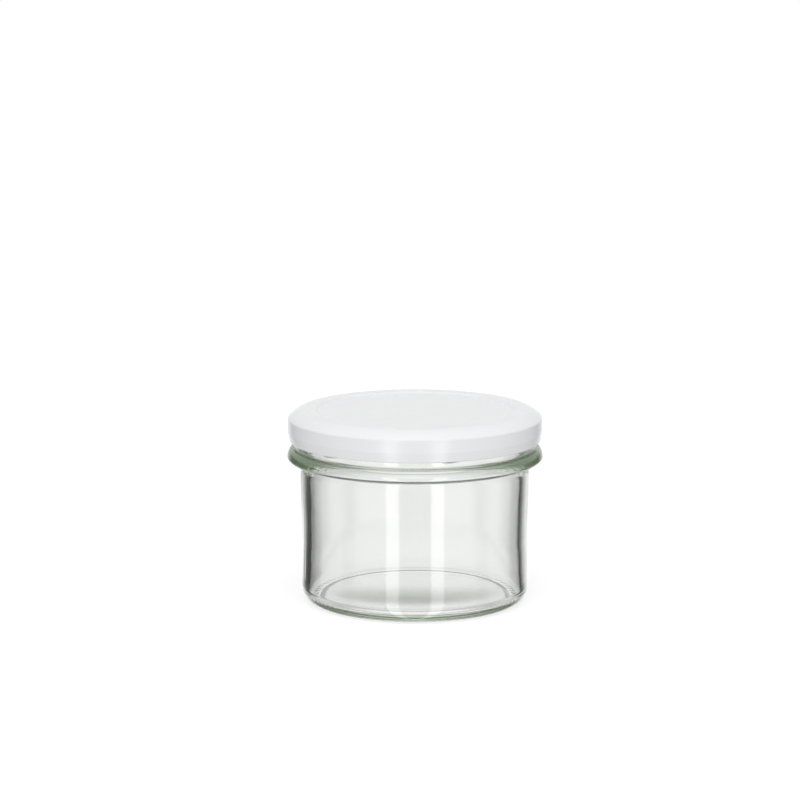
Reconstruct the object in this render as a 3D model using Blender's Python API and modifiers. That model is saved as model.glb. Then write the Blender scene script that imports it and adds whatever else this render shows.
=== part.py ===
"""A small glass canning jar with its twist-off metal lid, empty.

Units are metres, +Z is up, and the origin is at the centre of the jar's base, on the
surface that it stands on. The jar and the lid are both turned about Z. The jar's neck
carries six short thread ridges, and the lid's rolled edge six lugs that sit under them.
"""

import math

import bmesh
import bpy

MM = 0.001
NAME = "canning jar"

# Turning
TURN_STEPS = 48
ARC_STEPS = 6
BODY_STEPS = 4
ELLIPSE = 2.0
MERGE = 0.00001

# Heights above the table
LID_TOP = 64.9 * MM
PANEL_TOP = 64.3 * MM
SKIRT_TOP = 61.6 * MM
SKIRT_FOOT = 57.6 * MM
LID_FOOT = 54.4 * MM
MOUTH_TOP = 63.8 * MM
BEAD_TOP = 52.1 * MM
BEAD_WIDEST = 49.0 * MM
BEAD_FOOT = 47.2 * MM
PANEL_HIGH = 44.0 * MM
PANEL_WAIST = 20.0 * MM
HEEL_TOP = 7.0 * MM

# Radii of the jar
NECK_RADIUS = 40.0 * MM
MOUTH_RADIUS = 37.0 * MM
BEAD_RADIUS = 42.7 * MM
BEAD_FOOT_RADIUS = 40.0 * MM
BEAD_UNDERSIDE = 1.7
BODY_RADIUS = 38.4 * MM
WAIST_RADIUS = 37.95 * MM
HEEL_RADIUS = 38.3 * MM
HEEL_FULLNESS = 2.25
FOOT_OUTER = 33.6 * MM
FOOT_INNER = 31.6 * MM
PUSH_UP_RADIUS = 30.4 * MM
WALL = 3.0 * MM

# Base of the jar
PUSH_UP = 0.6 * MM
PUSH_UP_RISE = 0.1 * MM
FLOOR = 3.0 * MM
FLOOR_CROWN = 0.1 * MM
FLOOR_CORNER = 2.4 * MM

# Thread ridges
THREADS = 6
THREAD_RIDGE = 1.1 * MM
THREAD_RADIUS = 39.75 * MM
THREAD_HIGH = 59.6 * MM
THREAD_LOW = 54.3 * MM
THREAD_SPAN = math.radians(56)
THREAD_START = math.radians(-24)
THREAD_POINTS = 15
TAPERED_POINTS = 3

# Lid
LID_RADIUS = 42.4 * MM
SHEET = 0.5 * MM
PANEL_RADIUS = 32.3 * MM
CREST_INNER = 33.2 * MM
CREST_OUTER = 36.8 * MM
CORNER = 1.0 * MM
CORNER_START = 46.0
SHOULDER_STEPS = 4
CURL_OUTER = 41.95 * MM
CURL_HALF_WIDTH = 0.38 * MM
CURL_HALF_HEIGHT = 0.6 * MM
LUG_INSET = 0.85 * MM
LUG_SPAN = math.radians(13)
LUG_BEHIND_THREAD_START = math.radians(19)
LUG_POINTS = 9
CURL_CENTRE_Z = LID_FOOT + CURL_HALF_HEIGHT
CURL_CENTRE_R = CURL_OUTER - CURL_HALF_WIDTH


def arc(centre, size, start, end, steps=ARC_STEPS, fullness=ELLIPSE):
    """Points from start to end degrees on an ellipse, which a fullness under 2 flattens."""
    points = []
    for step in range(steps + 1):
        angle = math.radians(start + (end - start) * step / steps)
        across = math.copysign(abs(math.cos(angle)) ** (2 / fullness), math.cos(angle))
        along = math.copysign(abs(math.sin(angle)) ** (2 / fullness), math.sin(angle))
        points.append((centre[0] + size[0] * across, centre[1] + size[1] * along))
    return points


def eased(start, end, steps):
    """Points from start to end that leave and arrive upright, in a soft S."""
    points = []
    for step in range(steps + 1):
        share = step / steps
        soft = share * share * (3 - 2 * share)
        points.append((start[0] + (end[0] - start[0]) * soft, start[1] + (end[1] - start[1]) * share))
    return points


def jar_profile():
    """The jar's section: floor and inner wall, over the mouth, down the outside, under the base."""
    inner = BODY_RADIUS - WALL
    lip = (NECK_RADIUS - MOUTH_RADIUS) / 2
    floor_edge = inner - FLOOR_CORNER

    floor = [(0.0, FLOOR + FLOOR_CROWN), (floor_edge * 0.5, FLOOR + FLOOR_CROWN * 0.75)]
    corner = arc((floor_edge, FLOOR + FLOOR_CORNER), (FLOOR_CORNER, FLOOR_CORNER), -90, 0)
    inner_wall = [(WAIST_RADIUS - WALL, PANEL_WAIST)]
    inner_shoulder = eased((inner, PANEL_HIGH), (MOUTH_RADIUS, BEAD_TOP + lip), BODY_STEPS)
    mouth = arc((MOUTH_RADIUS + lip, MOUTH_TOP - lip), (lip, lip), 180, 0)

    fillet = 0.8 * MM
    neck_root = arc((NECK_RADIUS + fillet, BEAD_TOP + fillet), (fillet, fillet), 180, 250, 3)
    bead_size = (BEAD_RADIUS - NECK_RADIUS - fillet, BEAD_TOP - BEAD_WIDEST)
    bead_over = arc((NECK_RADIUS + fillet, BEAD_WIDEST), bead_size, 75, 0)
    under_size = (BEAD_RADIUS - BEAD_FOOT_RADIUS, BEAD_WIDEST - BEAD_FOOT)
    bead_under = arc((BEAD_FOOT_RADIUS, BEAD_WIDEST), under_size, -15, -90, 5, BEAD_UNDERSIDE)
    undercut = arc((BODY_RADIUS + fillet, BEAD_FOOT - fillet), (fillet, fillet), 90, 180, 3)

    panel = eased((BODY_RADIUS, PANEL_HIGH), (WAIST_RADIUS, PANEL_WAIST), BODY_STEPS)
    heel_size = (HEEL_RADIUS - FOOT_OUTER, HEEL_TOP)
    heel = arc((FOOT_OUTER, HEEL_TOP), heel_size, 0, -90, ARC_STEPS, HEEL_FULLNESS)
    base = [(FOOT_INNER, 0.0), (PUSH_UP_RADIUS, PUSH_UP - PUSH_UP_RISE)]
    base += [(PUSH_UP_RADIUS * 0.5, PUSH_UP - PUSH_UP_RISE * 0.25), (0.0, PUSH_UP)]
    inside = floor + corner + inner_wall + inner_shoulder
    return inside + mouth + neck_root + bead_over + bead_under + undercut + panel + heel + base


def shoulder(crest, corner):
    """The lid's shoulder: a low dome that falls from the crest, then a tight corner to the skirt."""
    centre = (LID_RADIUS - CORNER, SKIRT_TOP)
    turn = arc(centre, (corner, corner), CORNER_START, 0, SHOULDER_STEPS)
    across = turn[0][0] - CREST_OUTER
    fall = crest - turn[0][1]
    shares = [step / SHOULDER_STEPS for step in range(SHOULDER_STEPS)]
    return [(CREST_OUTER + across * share, crest - fall * share * share) for share in shares] + turn


def lid_profile():
    """The lid's section: across the top, down the skirt, round the rolled edge, back inside."""
    roll = (CURL_HALF_WIDTH, CURL_HALF_HEIGHT)
    top = [(0.0, PANEL_TOP), (PANEL_RADIUS, PANEL_TOP), (CREST_INNER, LID_TOP - 0.06 * MM)]
    top += shoulder(LID_TOP, CORNER)
    tucked = (CURL_OUTER + LID_RADIUS) / 2
    rolled = [(LID_RADIUS, SKIRT_FOOT), (tucked, (SKIRT_FOOT + CURL_CENTRE_Z) / 2)]
    rolled += arc((CURL_CENTRE_R, CURL_CENTRE_Z), roll, 0, -180)
    rolled += [(CURL_CENTRE_R - CURL_HALF_WIDTH * 0.7, CURL_CENTRE_Z + CURL_HALF_HEIGHT)]
    rolled += [(tucked - SHEET, SKIRT_FOOT - 0.9 * MM), (LID_RADIUS - SHEET, SKIRT_FOOT + 0.4 * MM)]
    under = shoulder(LID_TOP - SHEET, CORNER - SHEET)[::-1]
    under += [(CREST_INNER + 0.3 * MM, LID_TOP - SHEET - 0.06 * MM)]
    under += [(PANEL_RADIUS + 0.3 * MM, PANEL_TOP - SHEET), (0.0, PANEL_TOP - SHEET)]
    return top + rolled + under


def turned(name, profile):
    """An object whose profile, drawn in the XZ plane, a Screw modifier turns about Z."""
    mesh = bpy.data.meshes.new(name)
    points = [(r, 0.0, z) for r, z in profile]
    edges = [(i, i + 1) for i in range(len(points) - 1)]
    mesh.from_pydata(points, edges, [])
    piece = bpy.data.objects.new(name, mesh)
    screw = piece.modifiers.new("turn", "SCREW")
    screw.axis = "Z"
    screw.angle = math.tau
    screw.steps = TURN_STEPS
    screw.render_steps = TURN_STEPS
    screw.use_merge_vertices = True
    screw.merge_threshold = MERGE
    screw.use_smooth_shade = True
    return piece


def ridge(name, points, radii, collection):
    """A solid round bar along points, with its own radius at each, as a mesh with closed ends."""
    curve = bpy.data.curves.new(name, "CURVE")
    curve.dimensions = "3D"
    curve.bevel_depth = 1.0
    curve.bevel_resolution = 2
    curve.use_fill_caps = True
    spline = curve.splines.new("POLY")
    spline.points.add(len(points) - 1)
    for spot, place, radius in zip(spline.points, points, radii):
        spot.co = (*place, 1.0)
        spot.radius = radius
    bar = bpy.data.objects.new(name + " curve", curve)
    bpy.context.scene.collection.objects.link(bar)
    depsgraph = bpy.context.evaluated_depsgraph_get()
    mesh = bpy.data.meshes.new_from_object(bar.evaluated_get(depsgraph))
    welded = bmesh.new()
    welded.from_mesh(mesh)
    bmesh.ops.remove_doubles(welded, verts=welded.verts, dist=MERGE)
    welded.to_mesh(mesh)
    welded.free()
    piece = bpy.data.objects.new(name, mesh)
    piece.matrix_world = bar.matrix_world
    piece.hide_render = True
    piece.display_type = "WIRE"
    collection.objects.link(piece)
    bpy.data.objects.remove(bar)
    return piece


def thread_ridge(index, collection):
    """One thread: a ridge that runs down round the neck and fades out at both ends."""
    start = THREAD_START + index * math.tau / THREADS
    points = []
    radii = []
    for step in range(THREAD_POINTS):
        share = step / (THREAD_POINTS - 1)
        angle = start - THREAD_SPAN * share
        from_end = min(step, THREAD_POINTS - 1 - step)
        fade = min(1.0, (from_end + 1) / (TAPERED_POINTS + 1))
        sunk = THREAD_RADIUS - (1 - fade) * THREAD_RIDGE
        height = THREAD_HIGH + (THREAD_LOW - THREAD_HIGH) * share
        points.append((sunk * math.cos(angle), sunk * math.sin(angle), height))
        radii.append(THREAD_RIDGE)
    return ridge(f"thread_{index + 1}", points, radii, collection)


def lug_ridge(index, collection):
    """One lug: a short length of the lid's rolled edge pressed inwards, under a thread."""
    start = THREAD_START + index * math.tau / THREADS
    middle = start - LUG_BEHIND_THREAD_START
    points = []
    for step in range(LUG_POINTS):
        share = step / (LUG_POINTS - 1)
        angle = middle + LUG_SPAN * (share - 0.5)
        pressed = LUG_INSET * math.sin(math.pi * share) ** 0.5
        radius = CURL_CENTRE_R - pressed
        points.append((radius * math.cos(angle), radius * math.sin(angle), CURL_CENTRE_Z))
    return ridge(f"lug_{index + 1}", points, [CURL_HALF_WIDTH * 0.98] * LUG_POINTS, collection)


def join(piece, extras):
    """Joins every object of the collection extras to piece, as one solid."""
    union = piece.modifiers.new("join", "BOOLEAN")
    union.operation = "UNION"
    union.operand_type = "COLLECTION"
    union.collection = extras


def glass_material():
    material = bpy.data.materials.new("glass")
    material.use_nodes = True
    shader = material.node_tree.nodes["Principled BSDF"]
    shader.inputs["Base Color"].default_value = (0.93, 0.97, 0.93, 1.0)
    shader.inputs["Roughness"].default_value = 0.02
    shader.inputs["IOR"].default_value = 1.52
    shader.inputs["Transmission Weight"].default_value = 1.0
    return material


def enamel_material():
    material = bpy.data.materials.new("white enamel")
    material.use_nodes = True
    shader = material.node_tree.nodes["Principled BSDF"]
    shader.inputs["Base Color"].default_value = (0.83, 0.83, 0.84, 1.0)
    shader.inputs["Roughness"].default_value = 0.25
    shader.inputs["Metallic"].default_value = 0.0
    return material


def new_collection(name):
    collection = bpy.data.collections.new(name)
    bpy.context.scene.collection.children.link(collection)
    return collection


def main():
    for old in list(bpy.data.objects):
        bpy.data.objects.remove(old)
    parts = new_collection(NAME)
    thread_ridges = new_collection("thread ridges")
    lug_ridges = new_collection("lug ridges")
    for index in range(THREADS):
        thread_ridge(index, thread_ridges)
        lug_ridge(index, lug_ridges)

    jar = turned("jar", jar_profile())
    jar.data.materials.append(glass_material())
    join(jar, thread_ridges)
    lid = turned("lid", lid_profile())
    lid.data.materials.append(enamel_material())
    join(lid, lug_ridges)
    for piece in (jar, lid):
        parts.objects.link(piece)


main()
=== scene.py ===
"""Looks of the empty glass canning jar with its white twist-off lid.

Lengths are in metres. Angles round the jar are in degrees from the front (-Y), positive
towards +X, and directions in the world shader are in degrees from +Y, positive towards +X.
"""

import math

import bpy
import numpy as np
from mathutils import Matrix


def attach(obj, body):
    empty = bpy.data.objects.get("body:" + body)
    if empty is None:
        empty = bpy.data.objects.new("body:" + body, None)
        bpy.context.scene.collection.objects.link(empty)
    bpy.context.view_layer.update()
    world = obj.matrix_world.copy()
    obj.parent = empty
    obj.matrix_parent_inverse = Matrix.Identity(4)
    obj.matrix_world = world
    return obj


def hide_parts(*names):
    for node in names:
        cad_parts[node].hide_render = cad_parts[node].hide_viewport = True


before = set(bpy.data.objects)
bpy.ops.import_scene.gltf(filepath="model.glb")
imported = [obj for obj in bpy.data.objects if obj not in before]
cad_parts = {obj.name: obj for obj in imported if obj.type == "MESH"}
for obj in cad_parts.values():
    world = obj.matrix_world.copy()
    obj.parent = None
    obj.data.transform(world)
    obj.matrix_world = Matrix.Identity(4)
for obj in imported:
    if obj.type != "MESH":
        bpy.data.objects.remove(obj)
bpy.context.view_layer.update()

MM = 0.001
BODY = "root"

# Turned pieces, and how far apart the points of their sections are at most
TURN_STEPS = 360
ELLIPSE = 2.0
WALL_SPACING = 1.3 * MM
MOUTH_SPACING = 0.8 * MM
BEAD_SPACING = 0.3 * MM
HEEL_SPACING = 0.4 * MM
BASE_SPACING = 1.2 * MM
LID_SPACING = 1.0 * MM
CURL_SPACING = 0.4 * MM

# Heights of the jar above the table
MOUTH_TOP = 63.8 * MM
BEAD_TOP = 52.1 * MM
BEAD_WIDEST = 49.0 * MM
BEAD_FOOT = 47.2 * MM
PANEL_HIGH = 44.0 * MM
PANEL_WAIST = 20.0 * MM
HEEL_TOP = 7.0 * MM

# Radii of the jar
NECK_RADIUS = 40.0 * MM
MOUTH_RADIUS = 37.0 * MM
BEAD_RADIUS = 42.7 * MM
BEAD_FOOT_RADIUS = 40.0 * MM
BEAD_UNDERSIDE = 1.7
FILLET = 0.8 * MM
BODY_RADIUS = 38.4 * MM
WAIST_RADIUS = 37.95 * MM
HEEL_RADIUS = 38.3 * MM
HEEL_FULLNESS = 2.25
FOOT_OUTER = 33.6 * MM
FOOT_INNER = 31.6 * MM
PUSH_UP_RADIUS = 30.4 * MM
WALL = 3.0 * MM

# Base of the jar
PUSH_UP = 0.6 * MM
PUSH_UP_RISE = 0.1 * MM
FLOOR = 3.0 * MM
FLOOR_CROWN = 0.1 * MM
FLOOR_CORNER = 2.4 * MM
DOME_STEPS = 40

# Knurls round the foot, mould seams outside and the uneven wall inside
KNURLS = 90
KNURL_DEPTH = 0.12 * MM
KNURL_TOP = 1.2 * MM
KNURL_RADIUS = FOOT_OUTER + 0.3 * MM
KNURL_HALF_WIDTH = 2.4 * MM
KNURL_INNER = FOOT_INNER - 0.8 * MM
SEAMS = (97.0, 277.0)
SEAM_HALF_WIDTH = 1.6
SEAM_HEIGHT = 0.05 * MM
OVAL_WAVE = 0.10 * MM
THREE_SIDED_WAVE = 0.04 * MM
WAVE_FADE = 8 * MM

# Thread ridges
THREADS = 6
THREAD_HEIGHT = 0.85 * MM
THREAD_HALF_WIDTH = 1.3 * MM
THREAD_HIGH = 59.6 * MM
THREAD_LOW = 54.3 * MM
THREAD_SPAN = 56.0
THREAD_START = 66.0
THREAD_FADE = 9.0

# Lid
LID_TOP = 64.9 * MM
PANEL_TOP = 64.3 * MM
SKIRT_TOP = 61.6 * MM
SKIRT_FOOT = 57.6 * MM
LID_FOOT = 54.4 * MM
LID_RADIUS = 42.4 * MM
SHEET = 0.5 * MM
PANEL_RADIUS = 31.9 * MM
CREST_INNER = 33.6 * MM
CREST_OUTER = 36.8 * MM
CORNER = 1.0 * MM
CORNER_START = 46.0
SHOULDER_STEPS = 16
CURL_OUTER = 41.95 * MM
CURL_HALF_WIDTH = 0.38 * MM
CURL_HALF_HEIGHT = 0.6 * MM
TUCK_ABOVE = 0.4 * MM
TUCK_BELOW = 0.9 * MM
TUCK_PRESSED = 0.05 * MM
LUG_INSET = 0.85 * MM
LUG_SPAN = 13.0
LUG_BEHIND_THREAD_START = 19.0

# Camera, at the photograph's viewing angle
CAMERA_DISTANCE = 1.0
CAMERA_ELEVATION = 12.0
CAMERA_AIM_HEIGHT = 32 * MM
CAMERA_LENS = 134.1
CAMERA_SHIFT = (-0.0188, 0.1309)
GLASS_BOUNCES = 64

# Floor, and the soft shade on it under the jar: its grey along Y, and how much of the floor it
# covers, out from its centre in shares of its size
GROUND_HALF = 3.0
GROUND_DROP = 0.02 * MM
SHADE_DROP = 0.01 * MM
SHADE_CENTRE = (0.0, 7.0 * MM)
SHADE_SIZE = (30.0 * MM, 22.5 * MM)
SHADE_TINT = (0.9, 1.0, 0.84)
SHADE = [(-20 * MM, 0.2), (-14 * MM, 0.27), (-8 * MM, 0.36), (-2 * MM, 0.5)]
SHADE += [(4 * MM, 0.69), (10 * MM, 0.88), (16 * MM, 0.93), (30 * MM, 0.95)]
SHADE_COVER = [(0.0, 1.0), (0.7, 1.0), (0.85, 0.88), (0.95, 0.68)]
SHADE_COVER += [(1.05, 0.34), (1.15, 0.1), (1.25, 0.0)]

# What the glass shows of the studio. Each list has (azimuth, grey) stops for one elevation, and
# SEEN_THROUGH gives the elevations. Angles are in degrees
BACKDROP = [(-36, 0.03), (-30, 0.08), (-24, 0.14), (-18, 0.5), (-12, 0.86), (0, 0.97)]
BACKDROP += [(12, 0.92), (20, 0.74), (26, 0.62), (30, 0.35), (34, 0.1), (38, 0.02)]
TURNS_LEFT = [(-180, 0.1), (-166, 0.1), (-156, 0.75), (-115, 0.75), (-108, 0.1), (-98, 0.1)]
TURNS_LEFT += [(-92, 0.75), (-66, 0.75), (-58, 0.05)]
TURNS_RIGHT = [(58, 0.05), (66, 0.75), (92, 0.75), (98, 0.1), (108, 0.1), (115, 0.75)]
TURNS_RIGHT += [(156, 0.75), (166, 0.1), (180, 0.1)]
LEVEL = TURNS_LEFT + BACKDROP + TURNS_RIGHT
TABLE = [(-180, 0.3), (-90, 0.4), (-45, 0.55), (0, 0.6), (45, 0.55), (90, 0.4), (180, 0.3)]
LOW = [(-180, 0.5), (-90, 0.25), (-75, 0.25), (-66, 0.8), (-30, 0.8), (-20, 0.6), (0, 0.95)]
LOW += [(20, 0.6), (30, 0.8), (66, 0.8), (75, 0.25), (90, 0.25), (180, 0.5)]
RAISED = [(-180, 0.1), (-112, 0.15), (-77, 0.2), (-45, 0.5), (-25, 0.8), (0, 0.85)]
RAISED += [(25, 0.8), (45, 0.5), (77, 0.2), (112, 0.15), (180, 0.1)]
HIGH = [(-180, 0.1), (-112, 0.12), (-77, 0.16), (-45, 0.3), (0, 0.42)]
HIGH += [(45, 0.3), (77, 0.16), (112, 0.12), (180, 0.1)]
STEEP = [(-180, 0.9), (0, 0.95), (180, 0.9)]
SEEN_THROUGH = [(-68, STEEP), (-46, TABLE), (-27, LOW), (-18, LEVEL), (0, LEVEL)]
SEEN_THROUGH += [(10, RAISED), (14, RAISED), (16, HIGH)]

# What the surfaces mirror: two strip lights on the viewer's side, above a dark room
STRIPS = [(-180, 0.1), (-165, 0.1), (-163, 3.0), (-152, 3.0), (-150, 0.1), (-36, 0.1), (-20, 1.1)]
STRIPS += [(20, 1.1), (36, 0.1), (150, 0.1), (152, 3.0), (163, 3.0), (165, 0.1), (180, 0.1)]
CEILING = [(-180, 0.9), (180, 0.9)]
MIRRORED = [(0, STRIPS), (9, CEILING)]

# What lights them: a large soft light high in front, a dim room and the pale table
KEY_ELEVATION = 60.0
KEY_FOCUS = 5.0
KEY_LIGHT = 2.9
FILL_LIGHT = 0.2
TABLE_LIGHT = 1.0


def arc(centre, size, start, end, steps, fullness=ELLIPSE):
    """Points from start to end degrees on an ellipse, which its fullness flattens or fills."""
    points = []
    for step in range(steps + 1):
        angle = math.radians(start + (end - start) * step / steps)
        across = math.copysign(abs(math.cos(angle)) ** (2 / fullness), math.cos(angle))
        along = math.copysign(abs(math.sin(angle)) ** (2 / fullness), math.sin(angle))
        points.append((centre[0] + size[0] * across, centre[1] + size[1] * along))
    return points


def eased(start, end, steps):
    """Points from start to end that leave and arrive upright, in a soft S."""
    points = []
    for step in range(steps + 1):
        share = step / steps
        soft = share * share * (3 - 2 * share)
        points.append((start[0] + (end[0] - start[0]) * soft, start[1] + (end[1] - start[1]) * share))
    return points


def stepped(start, end):
    """Points from start to end that leave and arrive level, in a soft S."""
    return [(r, z) for z, r in eased(start[::-1], end[::-1], steps=10)]


def dome(top, rise, radius):
    """Points of a shallow dome, from its middle at the height top out to its edge, rise lower."""
    shares = [step / DOME_STEPS for step in range(DOME_STEPS + 1)]
    return [(radius * share, top - rise * share * share) for share in shares]


def filled(points, spacing):
    """The same path with extra points, so that none are further apart than spacing."""
    path = [points[0]]
    for (r0, z0), (r1, z1) in zip(points, points[1:]):
        count = max(1, math.ceil(math.hypot(r1 - r0, z1 - z0) / spacing))
        for step in range(1, count + 1):
            share = step / count
            path.append((r0 + (r1 - r0) * share, z0 + (z1 - z0) * share))
    return path


def bump(value, half_width):
    """A smooth hump: 1 where value is 0, and 0 past half_width on either side."""
    return np.where(np.abs(value) < half_width, 0.5 + 0.5 * np.cos(np.pi * value / half_width), 0.0)


def turned(name, profile, shape):
    """A closed mesh: the profile turned about Z, with shape(radius, height, angle) applied."""
    path = np.array(profile)
    angles = np.arange(TURN_STEPS) * 360.0 / TURN_STEPS
    middle = path[1:-1]
    radius = np.repeat(middle[:, 0][:, None], TURN_STEPS, axis=1)
    height = np.repeat(middle[:, 1][:, None], TURN_STEPS, axis=1)
    angle = np.repeat(angles[None, :], len(middle), axis=0)
    radius, height = shape(radius, height, angle)
    turn = np.radians(angle)
    rings = np.stack([radius * np.sin(turn), -radius * np.cos(turn), height], axis=-1).reshape(-1, 3)
    first = [[0.0, 0.0, path[0, 1]]]
    last = [[0.0, 0.0, path[-1, 1]]]
    points = np.concatenate([first, rings, last])

    faces = []
    end = len(points) - 1
    for step in range(TURN_STEPS):
        after = (step + 1) % TURN_STEPS
        faces.append((0, 1 + step, 1 + after))
        for row in range(len(middle) - 1):
            here = 1 + row * TURN_STEPS
            there = here + TURN_STEPS
            faces.append((here + step, there + step, there + after, here + after))
        bottom = 1 + (len(middle) - 1) * TURN_STEPS
        faces.append((bottom + after, bottom + step, end))
    mesh = bpy.data.meshes.new(name)
    mesh.from_pydata(points.tolist(), [], faces)
    mesh.validate()
    mesh.shade_smooth()
    piece = bpy.data.objects.new(name, mesh)
    bpy.context.scene.collection.objects.link(piece)
    return piece


def jar_profile():
    """The jar's section: floor and inner wall, over the mouth, down the outside, under the base."""
    inner = BODY_RADIUS - WALL
    lip = (NECK_RADIUS - MOUTH_RADIUS) / 2
    floor_edge = inner - FLOOR_CORNER

    inside = dome(FLOOR + FLOOR_CROWN, FLOOR_CROWN, floor_edge)[:-1]
    corner = (FLOOR_CORNER, FLOOR_CORNER)
    inside += arc((floor_edge, FLOOR + FLOOR_CORNER), corner, -90, 0, steps=16)
    inside += eased((WAIST_RADIUS - WALL, PANEL_WAIST), (inner, PANEL_HIGH), steps=16)
    inside += eased((inner, PANEL_HIGH), (MOUTH_RADIUS, BEAD_TOP + lip), steps=16)[1:]
    mouth = arc((MOUTH_RADIUS + lip, MOUTH_TOP - lip), (lip, lip), 180, 0, steps=14)

    round_size = (FILLET, FILLET)
    bead = arc((NECK_RADIUS + FILLET, BEAD_TOP + FILLET), round_size, 180, 250, steps=8)
    over_size = (BEAD_RADIUS - NECK_RADIUS - FILLET, BEAD_TOP - BEAD_WIDEST)
    bead += arc((NECK_RADIUS + FILLET, BEAD_WIDEST), over_size, 75, 0, steps=14)
    under_size = (BEAD_RADIUS - BEAD_FOOT_RADIUS, BEAD_WIDEST - BEAD_FOOT)
    bead += arc((BEAD_FOOT_RADIUS, BEAD_WIDEST), under_size, -5, -90, 14, BEAD_UNDERSIDE)
    bead += arc((BODY_RADIUS + FILLET, BEAD_FOOT - FILLET), round_size, 90, 180, steps=7)

    outside = eased((BODY_RADIUS, PANEL_HIGH), (WAIST_RADIUS, PANEL_WAIST), steps=16)
    outside += [(HEEL_RADIUS, HEEL_TOP)]
    heel_size = (HEEL_RADIUS - FOOT_OUTER, HEEL_TOP)
    heel = arc((FOOT_OUTER, HEEL_TOP), heel_size, -4, -90, 24, HEEL_FULLNESS)
    ring = [(FOOT_INNER, 0.0)]
    base = dome(PUSH_UP, PUSH_UP_RISE, PUSH_UP_RADIUS)[::-1]

    path = filled(inside, WALL_SPACING)
    path += filled([inside[-1]] + mouth, MOUTH_SPACING)[1:]
    path += filled([mouth[-1]] + bead, BEAD_SPACING)[1:]
    path += filled([bead[-1]] + outside, WALL_SPACING)[1:]
    path += filled([outside[-1]] + heel + ring, HEEL_SPACING)[1:]
    path += filled([ring[-1]] + base, BASE_SPACING)[1:]
    return path


def thread_relief(height, angle):
    """How far the thread ridges stand out from the neck."""
    relief = np.zeros_like(height)
    for index in range(THREADS):
        start = THREAD_START + index * 360.0 / THREADS
        along = (start - angle) % 360.0
        share = along / THREAD_SPAN
        middle = THREAD_HIGH + (THREAD_LOW - THREAD_HIGH) * share
        ends = np.clip(np.minimum(along, THREAD_SPAN - along) / THREAD_FADE, 0, 1)
        ends = np.where(share <= 1, ends * ends * (3 - 2 * ends), 0.0)
        relief = np.maximum(relief, ends * bump(height - middle, THREAD_HALF_WIDTH))
    return relief * THREAD_HEIGHT


def jar_shape(radius, height, angle):
    """Thread ridges, mould seams, a slightly uneven inner wall and the knurled foot."""
    turn = np.radians(angle)
    rise = height / MOUTH_TOP
    neck_inner = (MOUTH_RADIUS + NECK_RADIUS) / 2
    on_neck = (radius > neck_inner) & (height > BEAD_TOP + 0.3 * MM)
    radius = radius + np.where(on_neck, thread_relief(height, angle), 0.0)

    wall_middle = WAIST_RADIUS - WALL / 2
    outer = (radius > wall_middle) & (height > HEEL_TOP)
    seam = np.zeros_like(radius)
    for side in SEAMS:
        away = (angle - side + 180.0) % 360.0 - 180.0
        seam += bump(away, SEAM_HALF_WIDTH)
    radius = radius + np.where(outer, seam * SEAM_HEIGHT, 0.0)

    inner = (radius <= wall_middle) & (radius > 0.8 * (BODY_RADIUS - WALL)) & (height > FLOOR)
    wave = OVAL_WAVE * np.sin(2 * turn + 0.7 + 2.0 * rise)
    wave += THREE_SIDED_WAVE * np.sin(3 * turn + 2.1 - 5.0 * rise)
    fade_in = np.clip((height - FLOOR) / FLOOR_CORNER, 0, 1)
    fade_out = np.clip((BEAD_TOP - height) / WAVE_FADE, 0, 1)
    radius = radius + np.where(inner, wave * fade_in * fade_out, 0.0)

    foot = (height < KNURL_TOP) & (radius > KNURL_INNER)
    knurl = 0.5 + 0.5 * np.cos(KNURLS * turn)
    window = bump(radius - KNURL_RADIUS, KNURL_HALF_WIDTH)
    height = height + np.where(foot, knurl * window * KNURL_DEPTH, 0.0)
    return radius, height


def shoulder(crest, corner):
    """The lid's shoulder: a low dome that falls from the crest, then a tight corner to the skirt."""
    turn = arc((LID_RADIUS - CORNER, SKIRT_TOP), (corner, corner), CORNER_START, 0, SHOULDER_STEPS)
    across = turn[0][0] - CREST_OUTER
    fall = crest - turn[0][1]
    shares = [step / SHOULDER_STEPS for step in range(SHOULDER_STEPS)]
    return [(CREST_OUTER + across * share, crest - fall * share * share) for share in shares] + turn


def lid_profile():
    """The lid's section: across the top, down the skirt, round the rolled edge, back inside."""
    curl_centre = (CURL_OUTER - CURL_HALF_WIDTH, LID_FOOT + CURL_HALF_HEIGHT)
    tucked = (CURL_OUTER + LID_RADIUS) / 2

    top = [(0.0, PANEL_TOP)] + stepped((PANEL_RADIUS, PANEL_TOP), (CREST_INNER, LID_TOP))
    top += shoulder(LID_TOP, CORNER)
    skirt = [(LID_RADIUS, SKIRT_FOOT), (tucked, (SKIRT_FOOT + curl_centre[1]) / 2)]
    rolled = arc(curl_centre, (CURL_HALF_WIDTH, CURL_HALF_HEIGHT), 0, -180, steps=12)
    rolled += [(curl_centre[0] - CURL_HALF_WIDTH * 0.7, curl_centre[1] + CURL_HALF_HEIGHT)]
    rolled += [(tucked - SHEET, SKIRT_FOOT - TUCK_BELOW)]
    rolled += [(LID_RADIUS - SHEET, SKIRT_FOOT + TUCK_ABOVE)]

    under = shoulder(LID_TOP - SHEET, CORNER - SHEET)[::-1]
    under += stepped((PANEL_RADIUS, PANEL_TOP - SHEET), (CREST_INNER, LID_TOP - SHEET))[::-1]
    under += [(0.0, PANEL_TOP - SHEET)]

    path = filled(top, LID_SPACING)
    path += filled([top[-1]] + skirt + rolled, CURL_SPACING)[1:]
    path += filled([rolled[-1]] + under, BASE_SPACING)[1:]
    return path


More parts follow.
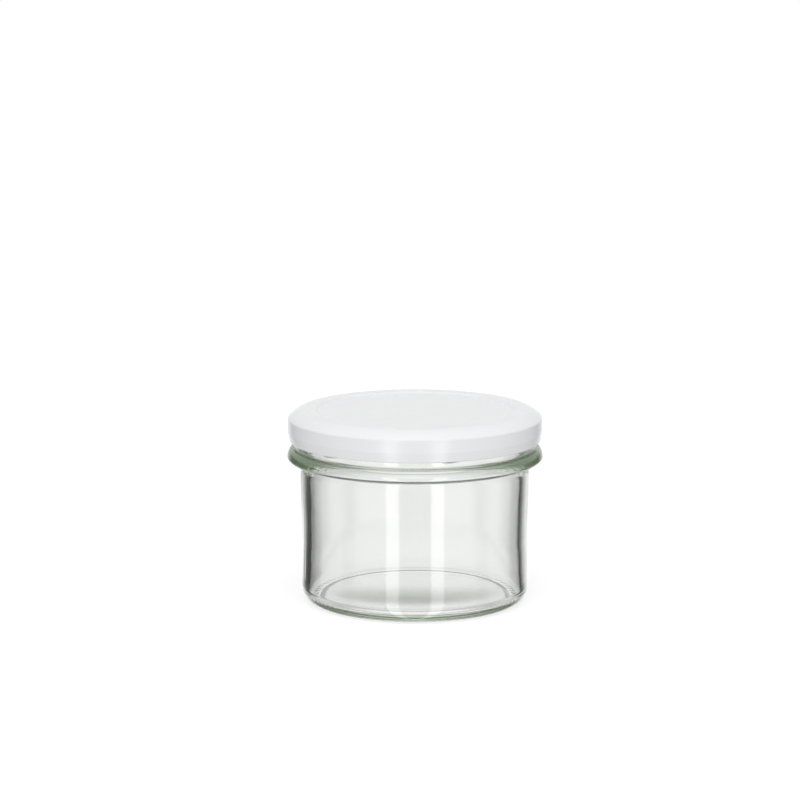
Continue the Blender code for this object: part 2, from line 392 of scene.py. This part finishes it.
def lid_shape(radius, height, angle):
    """Lugs pressed in from the rolled edge, with a faint dimple above each."""
    pressed = np.zeros_like(radius)
    for index in range(THREADS):
        middle = THREAD_START + index * 360.0 / THREADS - LUG_BEHIND_THREAD_START
        away = (angle - middle + 180.0) % 360.0 - 180.0
        pressed = np.maximum(pressed, bump(away, LUG_SPAN / 2))
    curl_top = LID_FOOT + 2 * CURL_HALF_HEIGHT
    low = np.clip((curl_top + 0.3 * MM - height) / (0.6 * MM), 0, 1)
    inside = radius < CURL_OUTER - CURL_HALF_WIDTH
    reach = np.where(inside, LUG_INSET, TUCK_PRESSED)
    return radius - pressed * low * reach, height


def link(tree, source, target):
    tree.links.new(source, target)


def math_node(tree, operation, first, second=None):
    """A Math node. Each input is a socket or a number."""
    node = tree.nodes.new("ShaderNodeMath")
    node.operation = operation
    for socket, value in zip(node.inputs, (first, second)):
        if value is None:
            continue
        if isinstance(value, (int, float)):
            socket.default_value = value
        else:
            link(tree, value, socket)
    return node.outputs[0]


def ramp_node(tree, factor, low, high, stops):
    """A grey ramp over low to high, with (position, grey) stops in those units."""
    scaled = math_node(tree, "DIVIDE", math_node(tree, "SUBTRACT", factor, low), high - low)
    node = tree.nodes.new("ShaderNodeValToRGB")
    ramp = node.color_ramp
    ramp.interpolation = "LINEAR"
    for index, (position, grey) in enumerate(stops):
        share = (position - low) / (high - low)
        spot = ramp.elements[index] if index < 2 else ramp.elements.new(share)
        spot.position = share
        spot.color = (grey, grey, grey, 1.0)
    link(tree, scaled, node.inputs["Fac"])
    return node.outputs["Color"]


def mix_node(tree, factor, first, second):
    """A colour mix. Each input is a socket, a number or a colour."""
    node = tree.nodes.new("ShaderNodeMix")
    node.data_type = "RGBA"
    sockets = (node.inputs[0], node.inputs[6], node.inputs[7])
    for socket, value in zip(sockets, (factor, first, second)):
        if isinstance(value, (int, float)) and socket.type != "VALUE":
            socket.default_value = (value, value, value, 1.0)
        elif isinstance(value, (int, float)):
            socket.default_value = value
        elif isinstance(value, tuple):
            socket.default_value = (*value, 1.0)
        else:
            link(tree, value, socket)
    return node.outputs[2]


def noise_node(tree, coordinates, size, detail=2.0):
    """Noise whose features are about size metres across."""
    node = tree.nodes.new("ShaderNodeTexNoise")
    node.inputs["Scale"].default_value = 1.0 / size
    node.inputs["Detail"].default_value = detail
    link(tree, coordinates, node.inputs["Vector"])
    return node.outputs["Fac"]


def bump_node(tree, height, distance, strength):
    node = tree.nodes.new("ShaderNodeBump")
    node.inputs["Strength"].default_value = strength
    node.inputs["Distance"].default_value = distance
    link(tree, height, node.inputs["Height"])
    return node.outputs["Normal"]


def glass_material():
    """Clear glass, faintly green through its depth, with the soft ripple of moulded glass."""
    material = bpy.data.materials.new("clear_glass_look")
    material.use_nodes = True
    tree = material.node_tree
    shader = tree.nodes["Principled BSDF"]
    place = tree.nodes.new("ShaderNodeTexCoord").outputs["Object"]
    shader.inputs["Transmission Weight"].default_value = 1.0
    shader.inputs["IOR"].default_value = 1.52
    shader.inputs["Roughness"].default_value = 0.0
    tint = mix_node(tree, noise_node(tree, place, 20 * MM), (0.985, 0.992, 0.985), (1.0, 1.0, 1.0))
    link(tree, tint, shader.inputs["Base Color"])
    ripple = bump_node(tree, noise_node(tree, place, 9 * MM, 1.0), 0.05 * MM, 0.5)
    link(tree, ripple, shader.inputs["Normal"])
    depth = tree.nodes.new("ShaderNodeVolumeAbsorption")
    depth.inputs["Color"].default_value = (0.36, 0.78, 0.09, 1.0)
    depth.inputs["Density"].default_value = 2.75
    link(tree, depth.outputs["Volume"], tree.nodes["Material Output"].inputs["Volume"])
    return material


def enamel_material():
    """White enamel on tinplate: a gloss that is a little uneven, like fine orange peel."""
    material = bpy.data.materials.new("white_enamel_look")
    material.use_nodes = True
    tree = material.node_tree
    shader = tree.nodes["Principled BSDF"]
    place = tree.nodes.new("ShaderNodeTexCoord").outputs["Object"]
    clouds = noise_node(tree, place, 14 * MM, 3.0)
    white = mix_node(tree, clouds, (0.83, 0.835, 0.85), (0.86, 0.862, 0.873))
    link(tree, white, shader.inputs["Base Color"])
    shader.inputs["IOR"].default_value = 1.5
    rough = math_node(tree, "MULTIPLY_ADD", noise_node(tree, place, 5 * MM, 3.0), 0.08)
    rough.node.inputs[2].default_value = 0.16
    link(tree, rough, shader.inputs["Roughness"])
    peel = bump_node(tree, noise_node(tree, place, 0.9 * MM, 2.0), 0.01 * MM, 0.35)
    link(tree, peel, shader.inputs["Normal"])
    return material


def build_jar():
    jar = turned("glass_jar", jar_profile(), jar_shape)
    jar.data.materials.append(glass_material())
    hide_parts("jar")
    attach(jar, BODY)
    return jar


def build_lid():
    lid = turned("twist_off_lid", lid_profile(), lid_shape)
    lid.data.materials.append(enamel_material())
    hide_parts("lid")
    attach(lid, BODY)
    return lid


def build_floor():
    """A plain pale floor. What shows through the glass is the studio, not the floor."""
    mesh = bpy.data.meshes.new("floor")
    corners = [(-1, -1), (1, -1), (1, 1), (-1, 1)]
    points = [(x * GROUND_HALF, y * GROUND_HALF, -GROUND_DROP) for x, y in corners]
    mesh.from_pydata(points, [], [(0, 1, 2, 3)])
    floor = bpy.data.objects.new("floor", mesh)
    bpy.context.scene.collection.objects.link(floor)
    material = bpy.data.materials.new("pale_floor")
    material.use_nodes = True
    tree = material.node_tree
    shader = tree.nodes["Principled BSDF"]
    shader.inputs["Base Color"].default_value = (0.3, 0.3, 0.3, 1.0)
    shader.inputs["Roughness"].default_value = 0.9
    shader.inputs["Specular IOR Level"].default_value = 0.0
    shader.inputs["Emission Color"].default_value = (1.0, 1.0, 1.0, 1.0)
    shader.inputs["Emission Strength"].default_value = 0.8
    mesh.materials.append(material)
    floor.visible_glossy = False
    floor.visible_transmission = False
    floor.visible_diffuse = False
    return floor


def build_shade():
    """The shade that the jar throws on the floor under itself, which shows through its base."""
    mesh = bpy.data.meshes.new("shade")
    edge = arc((0.0, 0.0), (PUSH_UP_RADIUS, PUSH_UP_RADIUS), 0, 360, steps=96)[:-1]
    mesh.from_pydata([(x, y, -SHADE_DROP) for x, y in edge], [], [tuple(range(len(edge)))])
    shade = bpy.data.objects.new("shade", mesh)
    bpy.context.scene.collection.objects.link(shade)
    material = bpy.data.materials.new("shaded_floor")
    material.use_nodes = True
    tree = material.node_tree
    shader = tree.nodes["Principled BSDF"]
    place = tree.nodes.new("ShaderNodeTexCoord").outputs["Object"]
    split = tree.nodes.new("ShaderNodeSeparateXYZ")
    link(tree, place, split.inputs[0])
    grey = ramp_node(tree, split.outputs["Y"], SHADE[0][0], SHADE[-1][0], SHADE)
    link(tree, mix_node(tree, grey, SHADE_TINT, (1.0, 1.0, 1.0)), shader.inputs["Emission Color"])
    link(tree, grey, shader.inputs["Emission Strength"])
    across = math_node(tree, "DIVIDE", split.outputs["X"], SHADE_SIZE[0])
    along = math_node(tree, "SUBTRACT", split.outputs["Y"], SHADE_CENTRE[1])
    along = math_node(tree, "DIVIDE", along, SHADE_SIZE[1])
    across = math_node(tree, "POWER", across, 2)
    along = math_node(tree, "POWER", along, 2)
    away = math_node(tree, "SQRT", math_node(tree, "ADD", across, along))
    cover = ramp_node(tree, away, SHADE_COVER[0][0], SHADE_COVER[-1][0], SHADE_COVER)
    link(tree, cover, shader.inputs["Alpha"])
    shader.inputs["Base Color"].default_value = (0.0, 0.0, 0.0, 1.0)
    shader.inputs["Specular IOR Level"].default_value = 0.0
    mesh.materials.append(material)
    return shade


def by_direction(tree, azimuth, elevation, bands):
    """A grey for each direction, from bands of (elevation, azimuth stops), blended in between."""
    colour = None
    for index, (height, stops) in enumerate(bands):
        layer = ramp_node(tree, azimuth, -180, 180, stops)
        if colour is None:
            colour = layer
            continue
        below = bands[index - 1][0]
        share = ramp_node(tree, elevation, -90, 90, [(below, 0.0), (height, 1.0)])
        colour = mix_node(tree, share, colour, layer)
    return colour


def build_studio():
    """Soft white studio light: what the glass shows, what surfaces mirror and what lights them."""
    world = bpy.data.worlds.new("studio")
    bpy.context.scene.world = world
    world.use_nodes = True
    tree = world.node_tree
    direction = tree.nodes.new("ShaderNodeTexCoord").outputs["Generated"]
    split = tree.nodes.new("ShaderNodeSeparateXYZ")
    link(tree, direction, split.inputs[0])
    azimuth = math_node(tree, "ARCTAN2", split.outputs["X"], split.outputs["Y"])
    azimuth = math_node(tree, "DEGREES", azimuth)
    elevation = math_node(tree, "DEGREES", math_node(tree, "ARCSINE", split.outputs["Z"]))

    seen_through = by_direction(tree, azimuth, elevation, SEEN_THROUGH)
    mirrored = by_direction(tree, azimuth, elevation, MIRRORED)

    # One large soft light stands high in front, over a pale table
    tilt = math.radians(KEY_ELEVATION)
    toward = tree.nodes.new("ShaderNodeVectorMath")
    toward.operation = "DOT_PRODUCT"
    link(tree, direction, toward.inputs[0])
    toward.inputs[1].default_value = (0.0, -math.cos(tilt), math.sin(tilt))
    facing = math_node(tree, "MAXIMUM", toward.outputs["Value"], 0.0)
    key = math_node(tree, "MULTIPLY", math_node(tree, "POWER", facing, KEY_FOCUS), KEY_LIGHT)
    above = math_node(tree, "GREATER_THAN", split.outputs["Z"], 0.0)
    lighting = mix_node(tree, above, TABLE_LIGHT, math_node(tree, "ADD", key, FILL_LIGHT))

    path = tree.nodes.new("ShaderNodeLightPath")
    colour = mix_node(tree, path.outputs["Is Glossy Ray"], lighting, mirrored)
    colour = mix_node(tree, path.outputs["Is Transmission Ray"], colour, seen_through)
    colour = mix_node(tree, path.outputs["Is Camera Ray"], colour, 1.0)
    background = tree.nodes["Background"]
    link(tree, colour, background.inputs["Color"])
    background.inputs["Strength"].default_value = 1.0


def build_camera():
    data = bpy.data.cameras.new("camera")
    data.lens = CAMERA_LENS
    data.sensor_width = 36.0
    data.shift_x, data.shift_y = CAMERA_SHIFT
    camera = bpy.data.objects.new("camera", data)
    tilt = math.radians(CAMERA_ELEVATION)
    camera.location = (
        0.0,
        -CAMERA_DISTANCE * math.cos(tilt),
        CAMERA_AIM_HEIGHT + CAMERA_DISTANCE * math.sin(tilt),
    )
    camera.rotation_euler = (math.pi / 2 - tilt, 0.0, 0.0)
    bpy.context.scene.collection.objects.link(camera)
    bpy.context.scene.camera = camera


def set_light_paths():
    """Light that is caught in the glass wall bounces many times before it comes out."""
    scene = bpy.context.scene
    scene.view_settings.view_transform = "Standard"
    scene.cycles.max_bounces = GLASS_BOUNCES
    scene.cycles.transmission_bounces = GLASS_BOUNCES
    scene.cycles.glossy_bounces = GLASS_BOUNCES


build_jar()
build_lid()
build_floor()
build_shade()
build_studio()
build_camera()
set_light_paths()
